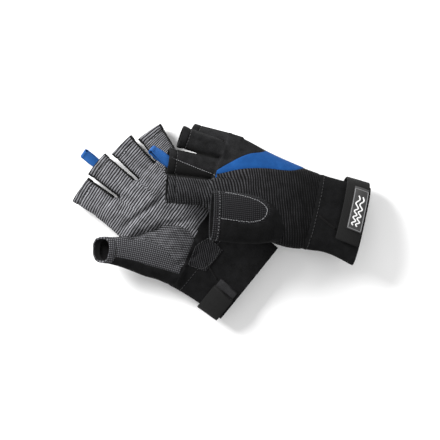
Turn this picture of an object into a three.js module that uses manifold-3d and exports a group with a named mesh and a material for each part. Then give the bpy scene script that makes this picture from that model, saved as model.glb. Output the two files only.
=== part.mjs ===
// A pair of fingerless sailing gloves, laid one on the other on a flat surface.
// The left glove lies palm up, pressed flat. The right glove lies across it, back up.
// Millimetres, +Z up. Each glove is modelled in its own hand frame:
//   s runs from the cuff to the fingertips, t towards the thumb, n out of the back of the hand.

import * as THREE from 'three';
import { mergeVertices } from 'three/addons/utils/BufferGeometryUtils.js';
import Module from 'manifold-3d';

// ---- driving dimensions ----
const WALL = 1.8;              // fabric thickness of every sleeve and panel
const GAP = 0.35;              // space kept between pieces that touch
const HEM_WIDTH = 6;           // folded hem at each finger opening
const HEM_THICKNESS = 0.9;
const PATCH_THICKNESS = 0.9;   // grip patches and the blue side panel
const CUFF_LENGTH = 46;
const SEAT_DEPTH = 13.2;       // distance from the left hand's middle plane to its flat rest face
const STRAP_START = 2;         // the strap lies close to the cuff's end
const STRAP_WIDTH = 23;
const STRAP_THICKNESS = 1.6;
const LABEL_WIDTH = 12;
const LABEL_THICKNESS = 1.2;
const PAD_THICKNESS = 0.8;     // hook pad and loop pad
const LOOP_LENGTH = 17;        // pull loop on the middle finger
const LOOP_WIDTH = 9;
const LOOP_GAP = 4.5;          // open space between the loop's two layers
const WEBBING = 1.1;
const TAB_OVERLAP = 26;        // degrees of the cuff's circumference that the hook pad covers
const PAD_INSET = 2;           // pads stay this far inside the strap's edges
const LABEL_INSET = 1.5;       // label's distance from the strap's outer edge
const PIPING_WIDTH = 4;        // folded edge beside the cuff's opening
const PIPING_HEIGHT = 1;
const SLIT_LENGTH = 30;        // opening that lets the hand into the cuff
const SLIT_WIDTH = 3;
const BINDING = [0.5, 6];      // stations between which tape lines the cuff's end
const BINDING_THICKNESS = 0.8;
const LOOP_RISE = 3;           // the pull loop leaves the hem this far towards the back of the hand
const GRIP_LENGTH = 40;        // knitted grip on the upper side of the thumb
const FAR = 300;               // beyond every part of a glove, in millimetres
const HAND_SIDES = 24;
const FINGER_SIDES = 14;
const ROUNDNESS = 0.86;        // exponent of the sections: 1 is an ellipse, less is squarer

const FINGERS = ['index', 'middle', 'ring', 'little'];

// Outline of the blue panel in the back of the hand, as [s, distance from the little-finger edge].
const SIDE_PANEL = [[148, 32], [130, 25], [106, 18], [80, 10], [66, 5], [88, 3], [112, 4], [134, 14]];
// Outline of the grip patch sewn on the heel of the hand, as [s, t].
const HEEL_PATCH = [[60, 26], [56, 25], [47, 21], [47, -9], [71, -9]];

// Each glove's shape. A station gives the hand's little-finger edge, thumb edge and half depth.
// A finger gives where its sleeve starts and where its hem ends, as [s, t, n], and its half width.
// The closure's angles go round the cuff in degrees, from the thumb edge over the back of the hand.
const LEFT = {
  name: 'left',
  origin: [27.2, -61, SEAT_DEPTH],
  heading: 141,
  pitch: 0,
  tilt: 180,
  stations: [
    { s: 0, little: -44, thumb: 44, depth: 7, slant: 0 },
    { s: 30, little: -45, thumb: 46, depth: 7, slant: 0 },
    { s: 46, little: -47, thumb: 48, depth: 9.5, slant: 0 },
    { s: 62, little: -50, thumb: 50, depth: 14, slant: 0 },
    { s: 100, little: -54, thumb: 47, depth: 14, slant: 0 },
    { s: 128, little: -56, thumb: 44, depth: 14, slant: 4 },
    { s: 146, little: -55, thumb: 43, depth: 11.5, slant: 8 },
  ],
  fingers: {
    index: { base: [152.5, 30.5, 1], hem: [182.5, 33, 2], half: 12.4, root: 11 },
    middle: { base: [149.5, 5.5, 1], hem: [186.5, 3.5, 2], half: 12.4, root: 11 },
    ring: { base: [145, -19, 1], hem: [179.5, -25.5, 2], half: 12.4, root: 10.8 },
    little: { base: [141, -43, 1], hem: [166.5, -53, 2], half: 11.6, root: 10.4 },
  },
  fingerDepth: 9,
  thumb: { base: [74, 34, -3], middle: [103, 49, -8], tip: [131, 65, -17], root: 19, half: 12.2, depth: 11.5 },
  closure: { tabEnd: -22, fold: 8, baseEnd: 150, label: [30, 120], side: -1, vent: 14 },
  loopTurn: 0,
};

const RIGHT = {
  name: 'right',
  origin: [135.2, 0, 18.5],
  heading: 164.4,
  pitch: 8,
  tilt: 13,
  stations: [
    { s: 0, little: -32, thumb: 46, depth: 12, slant: 0 },
    { s: 30, little: -32, thumb: 41, depth: 12, slant: 0 },
    { s: 46, little: -32, thumb: 43, depth: 13, slant: 0 },
    { s: 66, little: -33, thumb: 46, depth: 15, slant: 0 },
    { s: 100, little: -37, thumb: 42, depth: 15, slant: 0 },
    { s: 130, little: -44, thumb: 36, depth: 13.5, slant: 2 },
    { s: 150, little: -47, thumb: 31, depth: 11, slant: 4 },
  ],
  fingers: {
    index: { base: [153.5, 19, 0], hem: [190, 23, 1], half: 11.4, root: 10.2 },
    middle: { base: [152, -4, 0], hem: [196, -3.5, 2], half: 11.4, root: 10.2 },
    ring: { base: [150, -25.5, 1], hem: [190, -29.5, 2], half: 11.2, root: 9 },
    little: { base: [148, -44.5, -7], hem: [179, -45, -20.5], half: 9.6, root: 7.5 },
  },
  fingerDepth: 9,
  thumb: { base: [80, 26, 3], middle: [110, 33.5, 15.5], tip: [146, 40, 21.5], root: 19, half: 22.5, depth: 8.5 },
  closure: { tabEnd: 30, fold: 166, baseEnd: 204, label: [56, 158], side: 1, vent: 24 },
  loopTurn: 22,
};

// ---- manifold helpers: closed solids that can be joined and cut ----
const wasm = await Module();
wasm.setup();

function solidFrom(geometry) {
  const bare = geometry.index ? geometry.clone() : geometry;
  bare.deleteAttribute('normal');
  bare.deleteAttribute('uv');
  const welded = mergeVertices(bare, 1e-4);
  return new wasm.Manifold(new wasm.Mesh({
    numProp: 3,
    vertProperties: new Float32Array(welded.attributes.position.array),
    triVerts: new Uint32Array(welded.index.array),
  }));
}

function geometryFrom(solid) {
  const mesh = solid.getMesh();
  const geometry = new THREE.BufferGeometry();
  geometry.setAttribute('position', new THREE.BufferAttribute(new Float32Array(mesh.vertProperties), 3));
  geometry.setIndex(new THREE.BufferAttribute(new Uint32Array(mesh.triVerts), 1));
  return geometry;
}

// Box between two corners in the hand frame.
function block(low, high) {
  const size = high.map((value, axis) => value - low[axis]);
  const geometry = new THREE.BoxGeometry(...size);
  geometry.translate(...high.map((value, axis) => (value + low[axis]) / 2));
  return solidFrom(geometry);
}

// Prism over an outline of [s, t] points, from one height n to another.
function prism(outline, from, to) {
  const shape = new THREE.Shape(outline.map(([s, t]) => new THREE.Vector2(s, t)));
  const geometry = new THREE.ExtrudeGeometry(shape, { depth: to - from, bevelEnabled: false, curveSegments: 8 });
  geometry.translate(0, 0, from);
  return solidFrom(geometry);
}

// The same outline drawn in towards its middle, which leaves the gap to the piece around it.
function shrunk(outline) {
  const middle = [0, 1].map((axis) => outline.reduce((sum, point) => sum + point[axis], 0) / outline.length);
  return outline.map((point) => point.map((value, axis) => middle[axis] + (value - middle[axis]) * 0.97));
}

// ---- lofted tubes ----
function squared(value) {
  return Math.sign(value) * Math.abs(value) ** ROUNDNESS;
}

function ringPoint(ring, angle, grow) {
  const width = (ring.halfWidth + grow) * squared(Math.cos(angle));
  const depth = (ring.halfDepth + grow) * squared(Math.sin(angle));
  return ring.centre.clone()
    .addScaledVector(ring.across, width)
    .addScaledVector(ring.up, depth)
    .addScaledVector(ring.along, ring.slant * width / 50);
}

// Closed solid through the rings, made thicker by grow and longer by stretch at both ends.
function loft(rings, sides, grow = 0, stretch = [0, 0]) {
  const last = rings.length - 1;
  const positions = [];
  const index = [];
  rings.forEach((ring, row) => {
    const shift = row === 0 ? -stretch[0] : row === last ? stretch[1] : 0;
    for (let side = 0; side < sides; side += 1) {
      const point = ringPoint(ring, side / sides * 2 * Math.PI, grow).addScaledVector(ring.along, shift);
      positions.push(point.x, point.y, point.z);
    }
  });
  for (let row = 0; row < last; row += 1) {
    for (let side = 0; side < sides; side += 1) {
      const a = row * sides + side;
      const b = row * sides + (side + 1) % sides;
      index.push(a, b, a + sides, b, b + sides, a + sides);
    }
  }
  [0, last].forEach((row) => {
    const shift = row === 0 ? -stretch[0] : stretch[1];
    const centre = rings[row].centre.clone().addScaledVector(rings[row].along, shift);
    const hub = positions.length / 3;
    positions.push(centre.x, centre.y, centre.z);
    for (let side = 0; side < sides; side += 1) {
      const a = row * sides + side;
      const b = row * sides + (side + 1) % sides;
      index.push(...(row === 0 ? [hub, b, a] : [hub, a, b]));
    }
  });
  const geometry = new THREE.BufferGeometry();
  geometry.setAttribute('position', new THREE.Float32BufferAttribute(positions, 3));
  geometry.setIndex(index);
  const volumeSign = signedVolume(positions, index);
  if (volumeSign < 0) geometry.setIndex(index.reverse());
  return solidFrom(geometry);
}

function signedVolume(positions, index) {
  const corner = (i) => new THREE.Vector3().fromArray(positions, index[i] * 3);
  let sum = 0;
  for (let i = 0; i < index.length; i += 3) {
    sum += corner(i).dot(corner(i + 1).cross(corner(i + 2)));
  }
  return sum;
}

function handRings(glove) {
  return glove.stations.map((station) => ({
    centre: new THREE.Vector3(station.s, (station.thumb + station.little) / 2, 0),
    along: new THREE.Vector3(1, 0, 0),
    across: new THREE.Vector3(0, 1, 0),
    up: new THREE.Vector3(0, 0, 1),
    halfWidth: (station.thumb - station.little) / 2,
    halfDepth: station.depth,
    slant: station.slant,
  }));
}

// Rings square to a line of points, whose width stays parallel to the plane of the hand.
function tubeRings(points, halfWidths, halfDepths) {
  const curve = new THREE.CatmullRomCurve3(points.map((point) => new THREE.Vector3(...point)));
  return halfWidths.map((halfWidth, i) => {
    const u = i / (halfWidths.length - 1);
    const along = curve.getTangentAt(u);
    const across = new THREE.Vector3(0, 0, 1).cross(along).normalize();
    const up = along.clone().cross(across);
    return { centre: curve.getPointAt(u), along, across, up, halfWidth, halfDepth: halfDepths[i], slant: 0 };
  });
}

function fingerRings(glove, finger) {
  const { base, hem, half, root } = glove.fingers[finger];
  const depth = glove.fingerDepth;
  const middle = (root + half) / 2;
  return tubeRings([base, hem], [root, middle, half], [depth, depth, depth - 0.6]);
}

function thumbRings({ thumb }) {
  const between = (thumb.root + thumb.half) / 2;
  return tubeRings(
    [thumb.base, thumb.middle, thumb.tip],
    [thumb.root, between, thumb.half, thumb.half],
    [thumb.depth, thumb.depth, thumb.depth, thumb.depth - 0.5],
  );
}

// ---- materials ----
const fabric = (color, roughness = 0.95) => new THREE.MeshStandardMaterial({ color, roughness, metalness: 0 });
const MATERIALS = {
  grip: fabric(0x4a4b50),
  knit: fabric(0x56585e),
  stretch: fabric(0x17181a),
  binding: fabric(0x0c0d0e),
  blue: fabric(0x1b5fb8, 0.7),
  hook: fabric(0x141414, 0.85),
  label: fabric(0x8d9093, 0.6),
};

// ---- pieces of one glove ----
function makeGlove(glove) {
  const group = new THREE.Group();
  const rings = handRings(glove);
  const handOuter = loft(rings, HAND_SIDES);
  const handInner = loft(rings, HAND_SIDES, -WALL, [3, 3]);
  const thumbPath = thumbRings(glove);
  const thumbOuter = loft(thumbPath, FINGER_SIDES);
  const thumbInner = loft(thumbPath, FINGER_SIDES, -WALL, [0, 3]);
  const shell = handOuter.subtract(handInner).subtract(thumbInner);

  const add = (piece, solid, material) => {
    const mesh = new THREE.Mesh(geometryFrom(solid), MATERIALS[material]);
    mesh.name = `${glove.name}_${piece}`;
    group.add(mesh);
  };

  // Hand panels: the cuff band is open at the vent, the palm and the back meet at the side seams.
  const { side, vent } = glove.closure;
  const slit = block([-5, vent, Math.min(0, side * FAR)], [SLIT_LENGTH, vent + SLIT_WIDTH, Math.max(0, side * FAR)]);
  const seat = block([-FAR, -FAR, -FAR], [FAR, FAR, SEAT_DEPTH]);
  const palmSide = block([CUFF_LENGTH + GAP, -FAR, -FAR], [FAR, FAR, -GAP / 2]);
  const backSide = block([CUFF_LENGTH + GAP, -FAR, GAP / 2], [FAR, FAR, FAR]).intersect(seat);
  const panelOutline = SIDE_PANEL.map(([s, inset]) => [s, glove.stations[4].little + inset]);
  add('cuff_band', shell.intersect(block([-5, -FAR, -FAR], [CUFF_LENGTH, FAR, FAR])).subtract(slit), 'stretch');
  add('palm_panel', shell.intersect(palmSide), 'grip');
  add('back_panel', shell.intersect(backSide).subtract(prism(panelOutline, 0, FAR)), 'stretch');
  add('side_panel', shell.intersect(backSide).intersect(prism(shrunk(panelOutline), 0, FAR)), 'blue');

  addCuffParts(glove, rings, add);
  const skin = layer(rings, HAND_SIDES, GAP, GAP + PATCH_THICKNESS);
  add('heel_patch', skin.intersect(prism(HEEL_PATCH, -FAR, -1)), 'grip');
  const handWithGap = loft(rings, HAND_SIDES, GAP);
  addFingers(glove, handWithGap, add);
  addThumb(thumbPath, thumbOuter, thumbInner, handWithGap, add);
  addPullLoop(glove, add);
  place(group, glove);
  return group;
}

// A layer that follows the rings, between two heights above them.
function layer(rings, sides, from, to) {
  return loft(rings, sides, to).subtract(loft(rings, sides, from, [2, 2]));
}

// Hook-and-loop closure: the strap is sewn to the cuff as far as its fold line and lifts beyond it.
function addCuffParts(glove, rings, add) {
  const { tabEnd, fold, baseEnd, label, side, vent } = glove.closure;
  const cuffRings = rings.slice(0, 3);
  const padTop = GAP + PAD_THICKNESS;
  const hookTop = padTop + GAP + PAD_THICKNESS;
  const strapTop = hookTop + GAP + STRAP_THICKNESS;
  const strapEnd = STRAP_START + STRAP_WIDTH;
  const arc = (bottom, top, angles, low, high) => {
    const ring = layer(cuffRings, HAND_SIDES, bottom, top);
    return ring.intersect(wedge(glove, angles, low, high));
  };
  add('strap_base', arc(hookTop + GAP, strapTop, [fold + 2, baseEnd], STRAP_START, strapEnd), 'hook');
  add('strap_tab', arc(hookTop + GAP, strapTop, [tabEnd, fold], STRAP_START, strapEnd), 'hook');
  const hookArc = [tabEnd + 4, tabEnd + TAB_OVERLAP];
  const loopArc = [tabEnd - 4, tabEnd + TAB_OVERLAP + 4];
  add('hook_pad', arc(padTop + GAP, hookTop, hookArc, STRAP_START + PAD_INSET, strapEnd - PAD_INSET), 'hook');
  add('loop_pad', arc(GAP, padTop, loopArc, STRAP_START + PAD_INSET / 2, strapEnd - PAD_INSET / 2), 'stretch');
  const labelStart = STRAP_START + LABEL_INSET;
  const labelTop = strapTop + GAP + LABEL_THICKNESS;
  add('strap_label', arc(strapTop + GAP, labelTop, label, labelStart, labelStart + LABEL_WIDTH), 'label');
  const piping = layer(cuffRings, HAND_SIDES, GAP, GAP + PIPING_HEIGHT);
  const pipingSpace = [
    [strapEnd + 1.5, vent - PIPING_WIDTH - 0.5, Math.min(0, side * FAR)],
    [CUFF_LENGTH - 1, vent - 0.5, Math.max(0, side * FAR)],
  ];
  add('vent_piping', piping.intersect(block(...pipingSpace)), 'binding');
  const bindingTop = -WALL - 2 * GAP;
  const binding = layer(cuffRings, HAND_SIDES, bindingTop - BINDING_THICKNESS, bindingTop);
  add('cuff_binding', binding.intersect(block([BINDING[0], -FAR, -FAR], [BINDING[1], FAR, FAR])), 'binding');
}

// Wedge of angles around the cuff, between two stations.
function wedge(glove, [start, end], low, high) {
  const middle = (glove.stations[0].thumb + glove.stations[0].little) / 2;
  const reach = 120;
  const steps = 8;
  const outline = [new THREE.Vector2(0, 0)];
  for (let i = 0; i <= steps; i += 1) {
    const angle = THREE.MathUtils.degToRad(start + (end - start) * i / steps);
    outline.push(new THREE.Vector2(reach * Math.cos(angle), reach * Math.sin(angle)));
  }
  const geometry = new THREE.ExtrudeGeometry(new THREE.Shape(outline), { depth: high - low, bevelEnabled: false });
  geometry.applyMatrix4(new THREE.Matrix4().makeBasis(
    new THREE.Vector3(0, 1, 0), new THREE.Vector3(0, 0, 1), new THREE.Vector3(1, 0, 0),
  ).setPosition(low, middle, 0));
  return solidFrom(geometry);
}

function addFingers(glove, handWithGap, add) {
  FINGERS.forEach((finger) => {
    const path = fingerRings(glove, finger);
    const sleeve = loft(path, FINGER_SIDES).subtract(loft(path, FINGER_SIDES, -WALL, [3, 3]));
    add(`${finger}_sleeve`, sleeve.subtract(handWithGap), 'grip');
    add(`${finger}_hem`, hemTape(path), 'binding');
  });
}

// Rings of the last few millimetres of a sleeve, where its tape is folded over.
function hemRings(path) {
  const end = path[path.length - 1];
  const start = { ...end, centre: end.centre.clone().addScaledVector(end.along, -HEM_WIDTH) };
  const length = path[0].centre.distanceTo(end.centre);
  const taper = HEM_WIDTH / length * (path[0].halfWidth - end.halfWidth);
  start.halfWidth = end.halfWidth + Math.max(taper, 0);
  return [start, end];
}

function hemTape(path) {
  const lift = GAP + 0.15;
  return layer(hemRings(path), FINGER_SIDES, lift, lift + HEM_THICKNESS);
}

// Thumb sleeve: cut where it meets the hand, with a hem and a grip patch on its upper side.
function addThumb(path, outer, inner, handWithGap, add) {
  add('thumb_sleeve', outer.subtract(inner).subtract(handWithGap), 'stretch');
  add('thumb_hem', hemTape(path), 'binding');
  const tip = path[path.length - 1];
  const cover = layer(path, FINGER_SIDES, GAP, GAP + PATCH_THICKNESS);
  const near = tip.centre.x - GRIP_LENGTH;
  // The grip lies on the side that faces away from the hand: above it, or under it on a thumb bent towards the palm.
  const upperSide = tip.centre.z > 0 ? block([near, 0, tip.centre.z - 3.5], [FAR, FAR, FAR])
    : block([near, 0, -FAR], [tip.centre.x - 11, FAR, tip.centre.z + 1]);
  const hemSpace = loft(hemRings(path), FINGER_SIDES, 3, [3, 3]);
  add('thumb_grip', cover.intersect(upperSide).subtract(handWithGap).subtract(hemSpace), 'knit');
}

// Folded webbing loop that stands out from inside the middle finger's hem.
function addPullLoop(glove, add) {
  const { hem } = glove.fingers.middle;
  const bend = LOOP_GAP / 2 + WEBBING;
  const outer = new THREE.Shape();
  outer.moveTo(0, -bend);
  outer.lineTo(LOOP_LENGTH - bend, -bend);
  outer.absarc(LOOP_LENGTH - bend, 0, bend, -Math.PI / 2, Math.PI / 2, false);
  outer.lineTo(0, bend);
  outer.lineTo(0, bend - WEBBING);
  outer.lineTo(LOOP_LENGTH - bend, bend - WEBBING);
  outer.absarc(LOOP_LENGTH - bend, 0, bend - WEBBING, Math.PI / 2, -Math.PI / 2, true);
  outer.lineTo(0, WEBBING - bend);
  const geometry = new THREE.ExtrudeGeometry(outer, { depth: LOOP_WIDTH, bevelEnabled: false, curveSegments: 5 });
  geometry.translate(0, 0, -LOOP_WIDTH / 2);
  geometry.rotateX(Math.PI / 2);
  geometry.rotateZ(-THREE.MathUtils.degToRad(glove.loopTurn));
  // A turned loop starts further out, so that its corner stays clear of the hem.
  geometry.translate(hem[0] + 1 + glove.loopTurn * 0.1, hem[1], hem[2] + LOOP_RISE);
  add('pull_loop', solidFrom(geometry), 'blue');
}

// Turns the hand frame into the surface's frame.
// A right hand's s, t, n are right-handed and a left hand's are their mirror image.
function place(group, glove) {
  const heading = THREE.MathUtils.degToRad(glove.heading);
  const pitch = THREE.MathUtils.degToRad(glove.pitch);
  const tilt = THREE.MathUtils.degToRad(glove.tilt);
  const mirror = glove.name === 'left' ? -1 : 1;
  const s = new THREE.Vector3(
    Math.cos(heading) * Math.cos(pitch),
    Math.sin(heading) * Math.cos(pitch),
    Math.sin(pitch),
  );
  const level = new THREE.Vector3(0, 0, 1).cross(s).normalize();
  const raised = s.clone().cross(level);
  const t = level.multiplyScalar(mirror * Math.cos(tilt)).addScaledVector(raised, Math.sin(tilt));
  const n = s.clone().cross(t).multiplyScalar(mirror);
  group.matrixAutoUpdate = false;
  group.matrix.makeBasis(s, t, n).setPosition(...glove.origin);
}

const gloves = new THREE.Group();
gloves.add(makeGlove(LEFT), makeGlove(RIGHT));

export default gloves;
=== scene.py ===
# A pair of fingerless sailing gloves: the fabric, seams, hems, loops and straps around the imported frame.
# Each glove is shaped in its own hand frame, in millimetres, and then placed in the model's frame in metres:
#   s runs from the cuff to the fingertips, t towards the thumb, n out of the back of the hand.

import math

import bmesh
import bpy
import numpy as np
import openvdb
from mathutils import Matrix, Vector
from mathutils.bvhtree import BVHTree


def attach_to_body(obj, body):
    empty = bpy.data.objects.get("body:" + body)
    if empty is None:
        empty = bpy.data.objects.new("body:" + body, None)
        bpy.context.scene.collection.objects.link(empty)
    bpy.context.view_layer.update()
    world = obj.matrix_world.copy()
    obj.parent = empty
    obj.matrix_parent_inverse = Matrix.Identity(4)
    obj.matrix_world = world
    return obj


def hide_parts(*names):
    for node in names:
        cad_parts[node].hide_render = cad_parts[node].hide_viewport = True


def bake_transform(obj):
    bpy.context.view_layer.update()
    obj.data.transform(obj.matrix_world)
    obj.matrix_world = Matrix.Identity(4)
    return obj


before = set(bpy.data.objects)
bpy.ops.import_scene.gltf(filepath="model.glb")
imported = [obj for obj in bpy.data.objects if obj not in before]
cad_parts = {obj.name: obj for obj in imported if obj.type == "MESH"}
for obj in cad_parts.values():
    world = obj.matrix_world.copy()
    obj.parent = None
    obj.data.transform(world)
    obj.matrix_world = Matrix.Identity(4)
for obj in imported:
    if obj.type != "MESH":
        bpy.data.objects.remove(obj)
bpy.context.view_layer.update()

# ---- driving dimensions, in millimetres ----
CELL = 1.0      # grid that the fabric is shaped on
FABRIC = 1.3                           # thickness of a fabric panel
CUFF = 46.0                            # length of the black cuff
HEM = 6.5                              # folded hem at a finger opening
BORDER = 2.3                           # black binding seen along the sides of a finger
SEAT = 13.2                            # the left glove's middle plane above the surface it lies on
SECTION = 2.35                         # 2 is an ellipse, more is squarer
RIB_PITCH = 2.5                        # distance between the ribs of the grip fabric
LEFT_WRIST = 60.0                      # where the ribs begin at the thumb's side of the left palm
RIGHT_WRIST = 51.0                     # where the ribs begin on the right glove
STRAP_START = 2.0
STRAP_WIDTH = 23.0
LABEL_WIDTH = 14.5
LOOP_TWIST = 38.0                      # degrees that a pull loop has twisted by its end
LOOP_WIDTH = 9.0                       # width of a pull loop's ribbon
LOOP_ENDS = (-7, 13)                   # where its legs begin and end, from the hem outwards
FINGERS = ("index", "middle", "ring", "little")
GLOVE_LENGTH = 186.0                   # where the weave coordinates of every finger end
STITCHED_DEPTH = 0.5                   # how far a seam draws the fabric in
GRID_LOW = (-8.0, -72.0, -34.0)        # corners of the space that a hand is shaped in
GRID_HIGH = (208.0, 88.0, 38.0)
FIELD_CELLS = 3.0                      # a field is kept this many cells to either side of its surface
ROOM = 34.0                            # space kept around a thumb when its surface is made
THUMB_OVERLAP = 3.5                    # how far a separate thumb's sleeve reaches into the hand
THUMB_ROOT = 32.0                      # the hand is open into such a thumb along this length of it
KNUCKLE_BEND = (-7.0, 9.0)             # places before and after the knuckles, around the palm's end
PATCH_RISE = 0.7                       # how far the heel patch stands above the palm
FAR = 99.0                             # a distance that stands for none
RAISED_HEM = 0.35                      # how far a folded hem stands above the fabric
HEM_THICKNESS = 2.0                    # a folded hem is double
WELD = 0.22                            # points of a mesh closer than this are joined
MM = 0.001

LEFT = {
    "name": "left",
    "origin": (27.2, -61.0, SEAT),
    "heading": 141.0,
    "pitch": 0.0,
    "tilt": 180.0,
    "mirror": -1,
    # station, little-finger edge, thumb edge, half depth, slant of the end
    "stations": (
        (0, -44, 44, 7, 0), (30, -45, 46, 7, 0), (46, -47, 48, 9.5, 0), (62, -50, 50, 14, 0),
        (100, -54, 47, 14, 0), (128, -56, 44, 14, 4), (146, -55, 43, 11.5, 8),
    ),
    # root, hem, half width at the hem, half width at the root
    "fingers": {
        "index": ((152.5, 29.5, 1), (183, 32.3, 2), 13.7, 12.4),
        "middle": ((149.5, 3.5, 1), (186.5, 3.6, 2), 13.6, 11.8),
        "ring": ((145, -21.5, 1), (179.5, -25.2, 2), 13.6, 11.8),
        "little": ((141, -45, 1), (166.5, -52.3, 2), 13.4, 11.8),
    },
    "finger_depth": 8.5,
    "thumb": ((60, 30, -1), (102, 48, -8), (131, 65, -17)),
    "thumb_widths": (17, 17.5, 14, 12.2),
    "thumb_depths": (11, 12.5, 12, 11),
    "thumb_merge": 5.0,
    "thumb_slant": 0.5,
    "thumb_bend": ((115, 38, -8), (119, 57, -10)),
    "gusset": 0.0,
    "closure": {"tab_end": -22, "bend": (9, 4), "base_end": 150, "label": (30, 120)},
    "loop_turn": 0.0,
}
RIGHT = {
    "name": "right",
    "origin": (135.2, 0.0, 18.5),
    "heading": 164.4,
    "pitch": 8.0,
    "tilt": 13.0,
    "mirror": 1,
    "stations": (
        (0, -32, 46, 12, 0), (30, -32, 41, 12, 0), (46, -32, 43, 13, 0), (66, -33, 46, 15, 0),
        (100, -37, 42, 15, 0), (130, -44, 36, 13.5, 2), (150, -47, 31, 11, 4),
    ),
    "fingers": {
        "index": ((153.5, 16, 0), (190, 23, 1), 13.6, 12.8),
        "middle": ((152, -8, 0), (196, -2.5, 2), 12.0, 11.2),
        "ring": ((150, -27, 1), (190, -29, 2), 10.6, 10.4),
        "little": ((146, -38, -6), (177, -41, -18.5), 9.6, 9.6),
    },
    "finger_depth": 8.5,
    "thumb": ((80, 27, 4), (112, 34, 15), (147, 41, 20.5)),
    "thumb_widths": (18, 22.5, 23.8, 23),
    "thumb_depths": (10, 9.5, 8.8, 8),
    "thumb_merge": 0.0,
    "thumb_slant": 0.0,
    "thumb_bend": ((88, 29, 7), (112, 34, 15)),
    "gusset": 11.0,
    "closure": {"tab_end": 30, "bend": (7, 13), "base_end": 204, "label": (56, 158)},
    "loop_turn": 22.0,
}


# ---- placing: from the hand frame to the model's frame ----
def axes(glove):
    """Unit vectors of s, t and n in the model's frame."""
    heading, pitch, tilt = (math.radians(glove[key]) for key in ("heading", "pitch", "tilt"))
    level_reach = math.cos(pitch)
    s = np.array((math.cos(heading) * level_reach, math.sin(heading) * level_reach, math.sin(pitch)))
    level = np.cross((0, 0, 1), s)
    level /= np.linalg.norm(level)
    raised = np.cross(s, level)
    t = level * glove["mirror"] * math.cos(tilt) + raised * math.sin(tilt)
    n = np.cross(s, t) * glove["mirror"]
    return np.array((s, t, n))


def placed(glove, points):
    """Points of the hand frame, in millimetres, as points of the model's frame in metres."""
    return (np.asarray(points, float) @ axes(glove) + np.array(glove["origin"])) * MM


# ---- shape fields: negative inside, in millimetres near the surface ----
def smooth_curve(knots, values, x):
    """Smooth curve through the knots, held level beyond the ends."""
    knots, values = np.asarray(knots, float), np.asarray(values, float)
    slopes = np.gradient(values, knots)
    x = np.clip(x, knots[0], knots[-1])
    i = np.clip(np.searchsorted(knots, x, side="right") - 1, 0, len(knots) - 2)
    gap = knots[i + 1] - knots[i]
    u = (x - knots[i]) / gap
    return (
        values[i] * (1 + 2 * u) * (1 - u) ** 2
        + values[i + 1] * u * u * (3 - 2 * u)
        + slopes[i] * gap * u * (1 - u) ** 2
        - slopes[i + 1] * gap * u * u * (1 - u)
    )


def hand_section(glove, s):
    """Middle, half width, half depth and slant of the hand at station s."""
    rows = np.array(glove["stations"], float)
    little, thumb, depth, slant = (smooth_curve(rows[:, 0], rows[:, k], s) for k in range(1, 5))
    return (thumb + little) / 2, (thumb - little) / 2, depth, slant


def normalised(field, step):
    """Turns an implicit field on a grid into a distance near its surface."""
    gradient = np.gradient(field, step)
    return field / np.maximum(np.sqrt(sum(g * g for g in gradient)), 1e-4)


def oval(across, up, half_width, half_depth):
    """0 on a squarish oval section, negative inside."""
    power = np.abs(across / half_width) ** SECTION + np.abs(up / half_depth) ** SECTION
    return power ** (1 / SECTION) - 1


def smooth_min(a, b, radius):
    """The lower of two fields, rounded where they meet."""
    h = np.clip(0.5 + 0.5 * (b - a) / radius, 0, 1)
    return b + (a - b) * h - radius * h * (1 - h)


def hand_field(glove, s, t, n, step):
    """The palm and the cuff, without fingers or thumb."""
    middle, half_width, half_depth, slant = hand_section(glove, s)
    section = normalised(oval(t - middle, n, half_width, half_depth), step)
    end = glove["stations"][-1][0] + slant * (t - middle) / 50
    return np.maximum(section, np.maximum(s - end, -6 - s))


def finger_axes(glove, finger):
    """Root, directions along, across and up, length, and half widths at the hem and at the root."""
    root, hem, half, root_half = glove["fingers"][finger]
    root, hem = np.array(root, float), np.array(hem, float)
    length = np.linalg.norm(hem - root)
    along = (hem - root) / length
    across = np.cross((0, 0, 1), along)
    across /= np.linalg.norm(across)
    return root, along, across, np.cross(along, across), length, half, root_half


def finger_coordinates(glove, finger, s, t, n):
    """How far along the finger's axis, across it and above it each point is."""
    root, along, across, up, *_ = finger_axes(glove, finger)
    offset = (s - root[0], t - root[1], n - root[2])
    return tuple(sum(o * c for o, c in zip(offset, direction)) for direction in (along, across, up))


def finger_field(glove, finger, s, t, n, step):
    """One finger's sleeve, begun inside the palm."""
    *_, length, half, root_half = finger_axes(glove, finger)
    u, w, h = finger_coordinates(glove, finger, s, t, n)
    width = np.interp(u, (-8, 0, length), (root_half - 1, root_half, half))
    depth = glove["finger_depth"] * np.interp(u, (0, length), (1.05, 0.94))
    section = normalised(oval(w, h, width, depth), step)
    return np.maximum(section, np.maximum(u - length - 5, -16 - u))


def thumb_frames(glove, count=40):
    """Points, directions and half sizes along the thumb's curve."""
    a, b, c = (np.array(point, float) for point in glove["thumb"])
    u = np.linspace(0, 1.06, count)[:, None]
    control = 2 * b - (a + c) / 2
    points = (1 - u) ** 2 * a + 2 * u * (1 - u) * control + u ** 2 * c
    along = np.gradient(points, axis=0)
    along /= np.linalg.norm(along, axis=1)[:, None]
    across = np.cross((0, 0, 1), along)
    across /= np.linalg.norm(across, axis=1)[:, None]
    place = np.linspace(0, 1, len(glove["thumb_widths"]))
    widths = np.interp(u[:, 0], place, glove["thumb_widths"])
    depths = np.interp(u[:, 0], place, glove["thumb_depths"])
    return points, along, across, np.cross(along, across), widths, depths, u[:, 0]


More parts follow.
